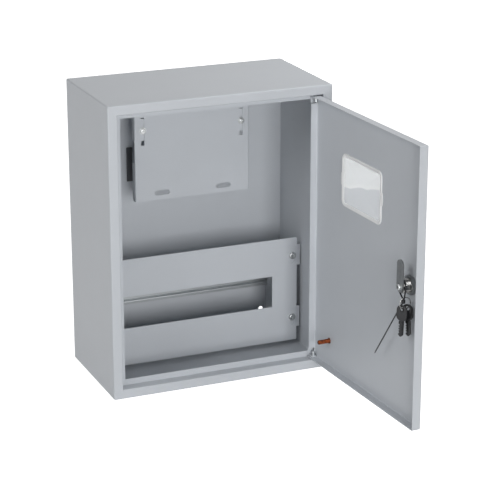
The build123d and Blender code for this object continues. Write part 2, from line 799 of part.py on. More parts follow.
os.makedirs("parts", exist_ok=True)
for label, piece in pieces.items():
    piece.part.label = label
    export_step(piece.part, f"parts/{label}.step")
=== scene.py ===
import json
import logging
from dataclasses import dataclass, field
from enum import Enum
from math import cos, pi, radians, sin, sqrt
from typing import Any

import bmesh
import bpy
import numpy as np
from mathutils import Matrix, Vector
from numpy.typing import ArrayLike


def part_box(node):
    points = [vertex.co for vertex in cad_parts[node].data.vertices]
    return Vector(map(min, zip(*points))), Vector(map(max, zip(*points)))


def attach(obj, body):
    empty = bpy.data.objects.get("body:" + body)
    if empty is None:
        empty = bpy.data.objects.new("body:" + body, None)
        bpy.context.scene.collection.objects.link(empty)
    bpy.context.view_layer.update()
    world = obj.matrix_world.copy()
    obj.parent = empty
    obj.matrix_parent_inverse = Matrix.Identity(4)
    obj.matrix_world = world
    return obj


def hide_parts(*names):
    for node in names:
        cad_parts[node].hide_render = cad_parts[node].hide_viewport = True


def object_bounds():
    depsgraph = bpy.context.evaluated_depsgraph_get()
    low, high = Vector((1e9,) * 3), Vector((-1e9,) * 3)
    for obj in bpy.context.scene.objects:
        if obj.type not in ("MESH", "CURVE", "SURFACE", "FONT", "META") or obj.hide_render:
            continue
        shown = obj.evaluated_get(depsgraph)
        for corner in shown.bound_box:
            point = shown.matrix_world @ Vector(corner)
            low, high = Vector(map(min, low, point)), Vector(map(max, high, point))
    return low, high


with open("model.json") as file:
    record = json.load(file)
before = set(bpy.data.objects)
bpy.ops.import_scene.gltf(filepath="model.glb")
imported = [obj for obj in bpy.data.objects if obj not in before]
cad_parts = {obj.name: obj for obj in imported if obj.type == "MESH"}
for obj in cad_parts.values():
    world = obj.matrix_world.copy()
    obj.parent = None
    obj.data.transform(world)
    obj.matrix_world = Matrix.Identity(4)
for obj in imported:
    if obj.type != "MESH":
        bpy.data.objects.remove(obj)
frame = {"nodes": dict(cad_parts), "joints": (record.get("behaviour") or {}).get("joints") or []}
cad_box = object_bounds()
log = logging.getLogger("enclosure")

Material = bpy.types.Material

MM = 0.001
UP = np.array((0.0, 0.0, 1.0))
WHITE = (1.0, 1.0, 1.0, 1.0)
# Points nearer than this, in metres, are one point, and nothing is divided by less.
TINY = 1e-6
# A Mix node goes by the numbers of its sockets: two numbers and their mix, or two colours and theirs.
LOW, HIGH, MIXED = 2, 3, 0
COLOUR_LOW, COLOUR_HIGH, COLOUR_MIXED = 6, 7, 2


def linear(code: str) -> tuple[float, float, float, float]:
    """Turns an sRGB hex colour into the linear colour that a shader takes.

    Args:
        code: Colour as six hex digits.

    Returns:
        Linear red, green, blue and an alpha of one.
    """
    parts = (int(code[i:i + 2], 16) / 255 for i in (0, 2, 4))
    red, green, blue = (p / 12.92 if p <= 0.04045 else ((p + 0.055) / 1.055) ** 2.4 for p in parts)
    return red, green, blue, 1.0


def per_metre(size_mm: float) -> float:
    """Texture scale at which one feature is as wide as a size in millimetres."""
    return 1000.0 / size_mm


def add_node(tree: bpy.types.NodeTree, kind: str, inputs: dict[str | int, Any] | None = None,
             **settings: Any) -> bpy.types.Node:
    """Adds a node to a tree, with its settings, input values and links.

    Args:
        tree: Node tree of a material or of the world.
        kind: Blender's type name of the node.
        inputs: Values or linked sockets by input name or number.
        **settings: Properties of the node itself.

    Returns:
        The new node.
    """
    node = tree.nodes.new(kind)
    for name, value in settings.items():
        setattr(node, name, value)
    for name, value in (inputs or {}).items():
        if isinstance(value, bpy.types.NodeSocket):
            tree.links.new(value, node.inputs[name])
        else:
            node.inputs[name].default_value = value
    return node


class Wrap(Enum):
    """Whether a grid's last row joins its first, and its last column its first."""

    OPEN = (False, False)
    AROUND = (False, True)
    BOTH = (True, True)


@dataclass(frozen=True)
class Patch:
    """A grid of points in metres, rows by columns by three, how it closes, and its material's number."""

    grid: np.ndarray
    wrap: Wrap
    slot: int = 0

    def quads(self, start: int) -> np.ndarray:
        """Numbers the four corners of each face.

        Args:
            start: Number of the patch's first point.

        Returns:
            Corner numbers, four to a face.
        """
        rows, columns = self.grid.shape[:2]
        number = np.arange(rows * columns).reshape(rows, columns) + start
        if self.wrap.value[0]:
            number = np.concatenate((number, number[:1]), axis=0)
        if self.wrap.value[1]:
            number = np.concatenate((number, number[:, :1]), axis=1)
        corners = (number[:-1, :-1], number[1:, :-1], number[1:, 1:], number[:-1, 1:])
        return np.stack(corners, axis=-1).reshape(-1, 4)


def surface(name: str, patches: list[Patch], sharp_degrees: float = 38.0) -> bpy.types.Object:
    """Makes one mesh object from grids of points, four neighbours to a face.

    Args:
        name: Name of the object.
        patches: The grids that make it up.
        sharp_degrees: Angle above which an edge stays sharp.

    Returns:
        The object, at the origin, its doubles merged and its faces outwards.
    """
    sizes = [patch.grid.size // 3 for patch in patches]
    starts = np.concatenate(((0,), np.cumsum(sizes)[:-1]))
    points = np.concatenate([patch.grid.reshape(-1, 3) for patch in patches])
    faces = [patch.quads(start) for patch, start in zip(patches, starts)]
    mesh = bpy.data.meshes.new(name)
    mesh.from_pydata(points.tolist(), [], np.concatenate(faces).tolist())
    slots = np.repeat([patch.slot for patch in patches], [len(quads) for quads in faces])
    mesh.polygons.foreach_set("material_index", slots.astype(np.int32))
    shape = bmesh.new()
    shape.from_mesh(mesh)
    bmesh.ops.remove_doubles(shape, verts=shape.verts, dist=TINY)
    bmesh.ops.dissolve_degenerate(shape, edges=shape.edges, dist=TINY)
    bmesh.ops.recalc_face_normals(shape, faces=shape.faces)
    shape.to_mesh(mesh)
    shape.free()
    mesh.shade_smooth()
    mesh.set_sharp_from_angle(angle=radians(sharp_degrees))
    made = bpy.data.objects.new(name, mesh)
    bpy.context.scene.collection.objects.link(made)
    return made


@dataclass(frozen=True)
class Axes:
    """A place on the part with three directions of its own, along which sizes are in millimetres."""

    origin: np.ndarray
    across: np.ndarray
    up: np.ndarray
    out: np.ndarray

    def at(self, across: ArrayLike, up: ArrayLike, out: ArrayLike) -> np.ndarray:
        """Finds points by their distances along the three directions.

        Args:
            across: Distances across, in millimetres.
            up: Distances up, in millimetres.
            out: Distances out, in millimetres.

        Returns:
            Points in metres, shaped like the distances with three numbers each.
        """
        steps = np.stack(np.broadcast_arrays(across, up, out), axis=-1)
        return self.origin + MM * steps @ np.stack((self.across, self.up, self.out))


def middle_of(node: str) -> np.ndarray:
    """Middle of a CAD node's box, in metres."""
    low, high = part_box(node)
    return (np.array(low) + np.array(high)) / 2


def door_axes(node: str) -> Axes:
    """Axes on the open door's outer face, in front of a node's middle.

    Args:
        node: Name of a CAD node of the door.

    Returns:
        Axes that point to the hinge, up, and out of the door's front.
    """
    lock = next(joint for joint in frame["joints"] if joint["name"] == "lock_turn")
    out = np.array(lock["axis"])
    middle = middle_of(node)
    depth = np.dot(middle - np.array(lock["pos_m"]), out)
    return Axes(middle - depth * out, np.cross(UP, out), UP, out)


def standing_axes(node: str, way: np.ndarray, length: float) -> Axes:
    """Axes at the foot of a straight piece that stands along a direction.

    Args:
        node: Name of the piece's CAD node.
        way: Direction from its foot to its end.
        length: Its length, in millimetres.

    Returns:
        Axes whose out direction runs up the piece.
    """
    return Axes(middle_of(node) - way * length * MM / 2, np.cross(UP, way), UP, way)


def rounded_outline(half_width: float, half_height: float, corner: float,
                    count: int) -> tuple[np.ndarray, np.ndarray]:
    """Outline of a rectangle with round corners, with its points evenly spaced.

    Each point of a corner is the corner's centre plus the radius times the unit vector at its angle.
    The sides are the straight gaps between corners, and all is spaced by the distance run along it.

    Args:
        half_width: Half the width, in millimetres.
        half_height: Half the height.
        corner: Radius of the corners.
        count: Number of points.

    Returns:
        Points and outward unit normals, two numbers each.
    """
    corner_steps = 24
    quarter = np.linspace(0.0, pi / 2, corner_steps)
    angle = (np.arange(4)[:, None] * pi / 2 + quarter).ravel()
    side = np.repeat(((1, 1), (-1, 1), (-1, -1), (1, -1)), corner_steps, axis=0)
    turn = np.stack((np.cos(angle), np.sin(angle)), axis=-1)
    ring = side * (half_width - corner, half_height - corner) + corner * turn
    closed = np.concatenate((ring, ring[:1]))
    normals = np.concatenate((turn, turn[:1]))
    run = np.concatenate(((0.0,), np.cumsum(np.linalg.norm(np.diff(closed, axis=0), axis=1))))
    spots = np.linspace(0.0, run[-1], count, endpoint=False)
    points = np.stack([np.interp(spots, run, part) for part in closed.T], axis=-1)
    ways = np.stack([np.interp(spots, run, part) for part in normals.T], axis=-1)
    return points, ways / np.linalg.norm(ways, axis=1, keepdims=True)


def carry(path: np.ndarray, side: np.ndarray, lift: np.ndarray, profile: np.ndarray) -> np.ndarray:
    """Carries a profile along a path.

    A point is the path's point plus the profile's two coordinates along the two directions there.

    Args:
        path: Points of the path, in metres.
        side: First direction of the profile at each point.
        lift: Second direction of the profile at each point.
        profile: Points of the profile in millimetres, the same all along or one set for each point.

    Returns:
        Grid of points in metres, one row for each point of the path.
    """
    spread = np.broadcast_to(profile, (len(path),) + profile.shape[-2:])
    return path[:, None] + MM * (spread[..., :1] * side[:, None] + spread[..., 1:] * lift[:, None])


def rounded_block(axes: Axes, middle: tuple[float, float, float], half: tuple[float, float, float],
                  power: float = 0.3, count: int = 28) -> np.ndarray:
    """Block with rounded edges.

    It is a superellipsoid: each coordinate is its half size times a signed power of the sphere's.

    Args:
        axes: Where and how it lies.
        middle: Its middle along the axes, in millimetres.
        half: Its half sizes.
        power: Power that squares the sphere up; smaller is sharper.
        count: Points round it.

    Returns:
        Grid of points in metres, which closes around.
    """
    def squared(wave: np.ndarray) -> np.ndarray:
        """Signed power of a sine or cosine."""
        return np.sign(wave) * np.abs(wave) ** power

    tilt = np.linspace(-pi / 2, pi / 2, count // 2 + 1)[:, None]
    turn = np.linspace(0.0, 2 * pi, count, endpoint=False)[None, :]
    across = middle[0] + half[0] * squared(np.cos(tilt)) * squared(np.cos(turn))
    up = middle[1] + half[1] * squared(np.cos(tilt)) * squared(np.sin(turn))
    out = middle[2] + half[2] * squared(np.sin(tilt))
    return axes.at(across, up, out)


def triangle_wave(turns: np.ndarray) -> np.ndarray:
    """Share of a thread's depth that is cut away: all at each whole turn, none half-way between."""
    return np.abs(2 * (turns % 1.0) - 1.0)


@dataclass(frozen=True)
class Finish:
    """A material: its name, its main colour and its gloss."""

    name: str
    colour: str
    roughness: float
    metallic: float = 0.0

    def begin(self) -> tuple[Material, bpy.types.NodeTree, bpy.types.Node, bpy.types.NodeSocket]:
        """Starts the material with a plain shader.

        Returns:
            The material, its tree, its shader and the Object coordinates.
        """
        made = bpy.data.materials.new(self.name)
        made.use_nodes = True
        tree = made.node_tree
        tree.nodes.clear()
        shader = add_node(tree, "ShaderNodeBsdfPrincipled", {
            "Base Color": linear(self.colour), "Roughness": self.roughness, "Metallic": self.metallic})
        add_node(tree, "ShaderNodeOutputMaterial", {"Surface": shader.outputs["BSDF"]})
        place = add_node(tree, "ShaderNodeTexCoord").outputs["Object"]
        return made, tree, shader, place


@dataclass(frozen=True)
class PowderCoat(Finish):
    """Polyester powder baked on sheet steel: a satin skin with fine orange peel and a faint mottle."""

    shade: str = "C1C5CA"
    mottle_mm: float = 60.0
    speck_mm: float = 1.1
    speck_share: float = 0.4
    # The peel is drawn coarser than the real millimetre so that it shows as a soft break in the gloss.
    peel_mm: float = 2.6
    peel_height_mm: float = 0.015
    peel_strength: float = 0.5
    gloss_spread: float = 0.05
    shine: float = 0.3

    def make(self) -> Material:
        """Builds the coat: two near greys in soft clouds, fine specks, and orange peel as bump.

        Returns:
            The material.
        """
        made, tree, shader, place = self.begin()
        shader.inputs["Specular IOR Level"].default_value = self.shine
        cloud = add_node(tree, "ShaderNodeTexNoise", {
            "Vector": place, "Scale": per_metre(self.mottle_mm), "Detail": 3.0, "Roughness": 0.55})
        speck = add_node(tree, "ShaderNodeTexNoise", {
            "Vector": place, "Scale": per_metre(self.speck_mm), "Detail": 1.0, "Roughness": 0.5})
        grain = add_node(tree, "ShaderNodeMix", {
            "Factor": self.speck_share, LOW: cloud.outputs["Fac"], HIGH: speck.outputs["Fac"]},
            data_type="FLOAT")
        tint = add_node(tree, "ShaderNodeMix", {
            "Factor": grain.outputs[MIXED], COLOUR_LOW: linear(self.shade),
            COLOUR_HIGH: linear(self.colour)}, data_type="RGBA")
        tree.links.new(tint.outputs[COLOUR_MIXED], shader.inputs["Base Color"])
        peel = add_node(tree, "ShaderNodeTexNoise", {
            "Vector": place, "Scale": per_metre(self.peel_mm), "Detail": 2.0, "Roughness": 0.5})
        bump = add_node(tree, "ShaderNodeBump", {
            "Strength": self.peel_strength, "Distance": self.peel_height_mm * MM,
            "Height": peel.outputs["Fac"]})
        tree.links.new(bump.outputs["Normal"], shader.inputs["Normal"])
        gloss = add_node(tree, "ShaderNodeMapRange", {
            "Value": peel.outputs["Fac"], "To Min": self.roughness - self.gloss_spread,
            "To Max": self.roughness + self.gloss_spread})
        tree.links.new(gloss.outputs["Result"], shader.inputs["Roughness"])
        return made


@dataclass(frozen=True)
class PlatedMetal(Finish):
    """Plated metal: a bright skin, cloudy where the plating grew unevenly, with faint handling rubs."""

    dull: str = "ADB0B1"
    dull_roughness: float = 0.1
    cloud_mm: float = 7.0
    cloud_range: tuple[float, float] = (0.35, 0.65)
    # The rubs are drawn wider than real ones, which are too fine to show.
    rub_mm: float = 0.9
    rub_depth_mm: float = 0.006
    rub_strength: float = 0.25

    def make(self) -> Material:
        """Builds the plating: bright and dull patches that also change the gloss, and rubs as bump.

        Returns:
            The material.
        """
        made, tree, shader, place = self.begin()
        cloud = add_node(tree, "ShaderNodeTexNoise", {
            "Vector": place, "Scale": per_metre(self.cloud_mm), "Detail": 4.0, "Roughness": 0.6})
        patch = add_node(tree, "ShaderNodeMapRange", {
            "Value": cloud.outputs["Fac"], "From Min": self.cloud_range[0],
            "From Max": self.cloud_range[1]})
        tint = add_node(tree, "ShaderNodeMix", {
            "Factor": patch.outputs["Result"], COLOUR_LOW: linear(self.dull),
            COLOUR_HIGH: linear(self.colour)}, data_type="RGBA")
        tree.links.new(tint.outputs[COLOUR_MIXED], shader.inputs["Base Color"])
        gloss = add_node(tree, "ShaderNodeMapRange", {
            "Value": patch.outputs["Result"], "To Min": self.roughness + self.dull_roughness,
            "To Max": self.roughness})
        tree.links.new(gloss.outputs["Result"], shader.inputs["Roughness"])
        rub = add_node(tree, "ShaderNodeTexNoise", {
            "Vector": place, "Scale": per_metre(self.rub_mm), "Detail": 2.0})
        bump = add_node(tree, "ShaderNodeBump", {
            "Strength": self.rub_strength, "Distance": self.rub_depth_mm * MM,
            "Height": rub.outputs["Fac"]})
        tree.links.new(bump.outputs["Normal"], shader.inputs["Normal"])
        return made


@dataclass(frozen=True)
class MouldedPlastic(Finish):
    """Injection-moulded plastic with a fine spark-eroded texture and slightly shiny high spots."""

    worn: str = "26272A"
    # The grain is drawn coarser than the mould's real texture, which is too fine to show.
    grain_mm: float = 0.7
    grain_height_mm: float = 0.03
    grain_strength: float = 0.3
    shine: float = 0.25

    def make(self) -> Material:
        """Builds the plastic: grain that lifts the colour a little and breaks the gloss as bump.

        Returns:
            The material.
        """
        made, tree, shader, place = self.begin()
        shader.inputs["Specular IOR Level"].default_value = self.shine
        grain = add_node(tree, "ShaderNodeTexNoise", {
            "Vector": place, "Scale": per_metre(self.grain_mm), "Detail": 2.0})
        tint = add_node(tree, "ShaderNodeMix", {
            "Factor": grain.outputs["Fac"], COLOUR_LOW: linear(self.colour),
            COLOUR_HIGH: linear(self.worn)}, data_type="RGBA")
        tree.links.new(tint.outputs[COLOUR_MIXED], shader.inputs["Base Color"])
        bump = add_node(tree, "ShaderNodeBump", {
            "Strength": self.grain_strength, "Distance": self.grain_height_mm * MM,
            "Height": grain.outputs["Fac"]})
        tree.links.new(bump.outputs["Normal"], shader.inputs["Normal"])
        return made


@dataclass(frozen=True)
class ClearPlastic(Finish):
    """Clear moulded polystyrene: glossy and faintly milky, with a painted reflection that whitens it above
    a wavy, leaning edge.
    """

    # The pane keeps its own tint below the edge; above it a painted reflection whitens it, with a painted
    # highlight line along the edge.
    below_colour: str = "DFE2E5"
    highlight_line: str = "FBFCFC"
    middle: tuple[float, float, float] = (0.0, 0.0, 0.0)
    reflection_lean: float = 0.228
    band_mm: float = 12.0
    # Where the clear pane ends, the painted highlight line stands and the painted reflection begins, as
    # shares of twice the band.
    band_stops: tuple[float, float, float] = (0.46, 0.53, 0.75)
    wave_mm: float = 30.0
    wave_height_mm: float = 5.0
    warp_mm: float = 0.2
    warp_strength: float = 0.3
    clarity: float = 0.6
    refraction: float = 1.49

    def make(self) -> Material:
        """Builds the pane: clear below, a painted highlight line along the edge, and a whiter painted
        reflection above it.

        The height over the edge is the height plus a share of the depth plus a soft wave, counted from
        the middle of the pane. The same wave bends the gloss as bump.

        Returns:
            The material.
        """
        made, tree, shader, place = self.begin()
        shader.inputs["Transmission Weight"].default_value = self.clarity
        shader.inputs["IOR"].default_value = self.refraction
        wave = add_node(tree, "ShaderNodeTexNoise", {
            "Vector": place, "Scale": per_metre(self.wave_mm), "Detail": 1.0, "Roughness": 0.4})
        centred = add_node(tree, "ShaderNodeVectorMath", {0: place, 1: self.middle}, operation="SUBTRACT")
        part = add_node(tree, "ShaderNodeSeparateXYZ", {0: centred.outputs[0]})
        lean = add_node(tree, "ShaderNodeMath", {
            0: part.outputs["Y"], 1: self.reflection_lean, 2: part.outputs["Z"]}, operation="MULTIPLY_ADD")
        level = add_node(tree, "ShaderNodeMath", {
            0: wave.outputs["Fac"], 1: 2 * self.wave_height_mm * MM, 2: lean.outputs[0]},
            operation="MULTIPLY_ADD")
        # Share of the painted reflection: none below the wavy edge, all of it above.
        reflection = add_node(tree, "ShaderNodeMapRange", {
            "Value": level.outputs[0], "From Min": (self.wave_height_mm - self.band_mm) * MM,
            "From Max": (self.wave_height_mm + self.band_mm) * MM})
        tint = add_node(tree, "ShaderNodeValToRGB", {"Fac": reflection.outputs["Result"]})
        # Stops of the clear pane, the painted highlight line and the painted reflection.
        below_to, line_at, reflection_from = self.band_stops
        stops = tint.color_ramp.elements
        stops[0].position, stops[0].color = below_to, linear(self.below_colour)
        stops[1].position, stops[1].color = reflection_from, linear(self.colour)
        stops.new(line_at).color = linear(self.highlight_line)
        tree.links.new(tint.outputs["Color"], shader.inputs["Base Color"])
        bump = add_node(tree, "ShaderNodeBump", {
            "Strength": self.warp_strength, "Distance": self.warp_mm * MM, "Height": wave.outputs["Fac"]})
        tree.links.new(bump.outputs["Normal"], shader.inputs["Normal"])
        return made


@dataclass
class Finishes:
    """All finishes of the enclosure, made once."""

    # Baked powder gives an even light grey with a soft sheen and no mirror images.
    coat: Material = field(default_factory=PowderCoat("powder_coated_steel", "C8CCD1", 0.42).make)
    # Bright zinc gives small silver heads with crisp, cloudy glints.
    zinc: Material = field(default_factory=PlatedMetal("zinc_plated_steel", "CDCFCF", 0.26, 1.0).make)
    # Hot-dipped strip gives a pale silver with a broad, soft sheen.
    strip: Material = field(default_factory=PlatedMetal(
        "galvanised_strip_steel", "C2C6C8", 0.38, 1.0, dull="B4B8BA", cloud_mm=45.0, rub_mm=4.0).make)
    # Nickel on cast zinc gives a grey near-mirror that picks up its surroundings.
    nickel: Material = field(
        default_factory=PlatedMetal("nickel_plated_zinc", "A9A9A8", 0.18, 1.0, dull="8A8A89").make)
    # Nickel on cut steel, coloured a near-black grey, gives nearly black blades with a faint sheen.
    key_steel: Material = field(
        default_factory=PlatedMetal("nickel_plated_key_steel", "3E3F40", 0.3, 1.0, dull="262728").make)
    # Copper plating gives a warm red-brown metal with much darker patches at random; the dark tone is
    # painted shade, like the shade along the stud's edges.
    copper: Material = field(default_factory=PlatedMetal(
        "copper_plated_steel", "96502F", 0.28, 1.0, dull="4A281A", cloud_mm=4.0).make)
    # Passivated zinc gives a plain mid-grey metal with a blurred sheen.
    cam_steel: Material = field(default_factory=PlatedMetal(
        "passivated_zinc_steel", "969899", 0.36, 1.0, dull="858788", cloud_mm=14.0, rub_mm=3.0).make)
    # Moulded nylon gives a deep black with a narrow soft highlight on its rounded edges.
    nylon: Material = field(
        default_factory=MouldedPlastic("black_nylon", "151618", 0.36, shine=0.4).make)
    # Moulded polyethylene gives a matt charcoal that hardly shines.
    polyethylene: Material = field(
        default_factory=MouldedPlastic("black_polyethylene", "46474A", 0.5, worn="5A5B5E").make)
    # Clear polystyrene gives gloss over a faint veil through which the background shows, with a painted
    # reflection that whitens its upper part.
    clear: Material = field(default_factory=ClearPlastic(
        "clear_polystyrene", "F4F6F7", 0.12, middle=tuple(middle_of("window"))).make)
    # The same clear plastic on the rim and clips, painted white and nearly solid: painted light for the
    # bright surroundings that its thick edge bends and mirrors.
    painted_white_rim: Material = field(default_factory=ClearPlastic(
        "polystyrene_rim_painted_white", "FBFCFC", 0.08, below_colour="FBFCFC", clarity=0.1).make)


def dress(nodes: tuple[str, ...], material: Material) -> None:
    """Gives CAD nodes one material all over.

    Args:
        nodes: Names of the CAD nodes.
        material: The material they take.
    """
    for name in nodes:
        slots = frame["nodes"][name].data.materials
        slots.clear()
        slots.append(material)
        log.info("dressed %s in %s", name, material.name)


def install(piece: bpy.types.Object, body: str, node: str, slot: str, *materials: Material) -> None:
    """Dresses a new piece and puts it on its body in place of a CAD node.

    Args:
        piece: The new piece.
        body: Body that it moves with.
        node: CAD node that it stands for.
        slot: Material slot of the record; not used.
        *materials: The materials it takes, in the order of its patches' numbers.
    """
    for material in materials:
        piece.data.materials.append(material)
    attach(piece, body)
    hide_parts(node)
    log.info("built %s with %d faces for %s", piece.name, len(piece.data.polygons), node)


@dataclass
class Cabinet:
    """The fixed body: shell, back panel, plugs and hinges."""

    painted: tuple[str, ...] = ("body_shell", "back_panel", "hinge_leaf_upper", "hinge_leaf_lower")
    pins: tuple[str, ...] = ("hinge_pin_upper", "hinge_pin_lower")
    plugs: tuple[str, ...] = ("cable_plugs",)

    def build(self, finishes: Finishes) -> None:
        """Dresses the cabinet's nodes.

        Args:
            finishes: The finishes to choose from.
        """
        dress(self.painted, finishes.coat)
        dress(self.pins, finishes.strip)
        dress(self.plugs, finishes.polyethylene)


@dataclass
class MeterMount:
    """The meter panel with its brackets and fixings."""

    painted: tuple[str, ...] = ("meter_panel", "meter_bracket_left", "meter_bracket_right")
    plated: tuple[str, ...] = ("meter_washers", "meter_screws", "meter_nuts")

    def build(self, finishes: Finishes) -> None:
        """Dresses the meter mount's nodes."""
        dress(self.painted, finishes.coat)
        dress(self.plated, finishes.zinc)


@dataclass
class ModuleBay:
    """The slotted cover, its brackets and screws, and the rail behind it."""

    painted: tuple[str, ...] = ("module_cover", "cover_bracket_left", "cover_bracket_right")
    plated: tuple[str, ...] = ("cover_screws", "rail_rivets")
    rolled: tuple[str, ...] = ("din_rail",)

    def build(self, finishes: Finishes) -> None:
        """Dresses the module bay's nodes.

        Args:
            finishes: The finishes to choose from.
        """
        dress(self.painted, finishes.coat)
        dress(self.plated, finishes.zinc)
        dress(self.rolled, finishes.strip)


@dataclass
class EarthStud:
    """A threaded stud with the flange that was melted round its foot when it was welded on."""

    radius: float = 3.0
    length: float = 17.0
    pitch: float = 1.0
    thread_depth: float = 0.55
    thread_from: float = 2.2
    flange_radius: float = 4.0
    flange_height: float = 0.8
    chamfer: float = 0.7
    step: float = 0.05
    rows_a_pitch: int = 10
    columns: int = 40

    def build(self, node: str, body: str, way: np.ndarray, finishes: Finishes) -> None:
        """Builds the stud as a radius over its height and its angle.

        The radius steps in from the flange to the shank, loses up to the thread's depth in a triangle
        wave that climbs one pitch a turn, and closes over the chamfer to a point on the axis at both ends.

        Args:
            node: CAD node that the stud stands for.
            body: Body that it moves with.
            way: Direction from its foot to its end.
            finishes: The finishes to choose from.
        """
        axes = standing_axes(node, way, self.length)
        thread_to = self.length - self.chamfer
        # Height and share of the flange's radius, from the middle of the foot over the weld to the shank.
        foot = np.array((
            (0.0, 0.0), (0.0, 1.0), (0.5, 1.0), (0.75, 0.97), (self.flange_height, 0.9),
            (1.1, 0.79), (1.6, 0.752), (self.thread_from - self.step, 0.75)))
        climb = np.arange(self.thread_from, thread_to, self.pitch / self.rows_a_pitch)
        thread = np.stack((climb, np.full(climb.shape, self.radius)), axis=-1)
        tip = np.array(((thread_to, self.radius - self.step), (self.length, self.radius - self.chamfer),
                        (self.length, 0.0)))
        profile = np.concatenate((foot * (1.0, self.flange_radius), thread, tip))
        height, plain = profile[:, :1], profile[:, 1:]
        angle = np.linspace(0.0, 2 * pi, self.columns, endpoint=False)[None, :]
        climbed = (height - self.thread_from) / self.pitch
        tooth = triangle_wave(climbed - angle / (2 * pi))
        run_in = np.clip(climbed, 0.0, 1.0)
        radius = plain - np.where(height < thread_to, self.thread_depth * tooth * run_in, 0.0)
        grid = axes.at(radius * np.cos(angle), radius * np.sin(angle), height)
        piece = surface(f"threaded_{node}", [Patch(grid, Wrap.AROUND)])
        install(piece, body, node, "copper_plate", finishes.copper)


@dataclass
class Window:
    """The clear moulding in the door: pane, raised rim, and a clip at each side."""

    half_width: float = 51.0
    half_height: float = 35.5
    corner: float = 9.0
    pane_edge: float = 3.2
    edge_chamfer: float = 0.1
    rim_inside: float = 4.4
    sheet: float = 1.0
    pane: float = 1.2
    rim_top: float = 2.4
    seat_gap: float = 0.02
    clip_half: tuple[float, float, float] = (2.6, 8.5, 0.5)
    # The rim and the clips take the second material: the same plastic, painted white as painted light.
    rim_slot: int = 1
    columns: int = 160

    def build(self, finishes: Finishes) -> None:
        """Builds the moulding as a profile carried round the rounded outline.

        Each row is the outline moved in along its normals by a distance, at a depth behind the door's
        face. The pane's two faces close from their edge to their middle.

        Args:
            finishes: The finishes to choose from.
        """
        axes = door_axes("window")
        outline, normals = rounded_outline(self.half_width, self.half_height, self.corner, self.columns)
        seat = self.sheet + self.seat_gap
        inside, pane, top = self.rim_inside, self.pane, self.rim_top
        # Distance in from the outline and depth behind the outer face: first the rim, from the pane's
        # inner face up its slope, over its round top and back to its seat, then the pane's own edge.
        rim = np.array((
            (inside + 0.9, pane), (inside + 0.3, pane + 0.08), (inside - 0.3, pane + 0.28),
            (inside - 1.4, pane + 0.72), (1.7, top - 0.14), (1.3, top - 0.03), (0.9, top),
            (0.35, top - 0.15), (0.05, top - 0.5), (0.0, seat + 0.3), (0.0, seat),
            (self.pane_edge, seat)))
        edge = np.array(((self.pane_edge, seat), (self.pane_edge, self.edge_chamfer),
                         (self.pane_edge + self.edge_chamfer, 0.0)))

        def ring(rows: np.ndarray) -> np.ndarray:
            """Carries rows of distance and depth round the outline."""
            shape = outline[None] - rows[:, None, :1] * normals[None]
            return axes.at(shape[..., 0], shape[..., 1], -rows[:, 1:])

        def face(row: np.ndarray) -> np.ndarray:
            """Closes a row to the middle of the pane."""
            middle = np.zeros((1, len(outline)))
            return np.concatenate((axes.at(middle, middle, -row[1]), ring(row[None])))

        moulding = [
            Patch(face(rim[0]), Wrap.AROUND), Patch(ring(rim), Wrap.AROUND, self.rim_slot),
            Patch(ring(edge), Wrap.AROUND), Patch(face(edge[-1]), Wrap.AROUND)]
        for side in (-1, 1):
            middle = (side * self.half_width, 0.0, -seat - self.clip_half[2])
            clip = rounded_block(axes, middle, self.clip_half)
            moulding.append(Patch(clip, Wrap.AROUND, self.rim_slot))
        piece = surface("window_moulding", moulding)
        install(piece, "door", "window", "clear_plastic", finishes.clear, finishes.painted_white_rim)


@dataclass
class Door:
    """The door tray, its window and the earth studs of the door and the body."""

    painted: tuple[str, ...] = ("door_panel",)
    body_stud_way: tuple[float, float, float] = (0.0, -1.0, 0.0)

    def build(self, finishes: Finishes) -> None:
        """Dresses the tray and builds its window and the studs.

        Args:
            finishes: The finishes to choose from.
        """
        dress(self.painted, finishes.coat)
        Window().build(finishes)
        stud = EarthStud()
        stud.build("door_earth_stud", "door", -door_axes("door_earth_stud").out, finishes)
        stud.build("body_earth_stud", "enclosure", np.array(self.body_stud_way), finishes)


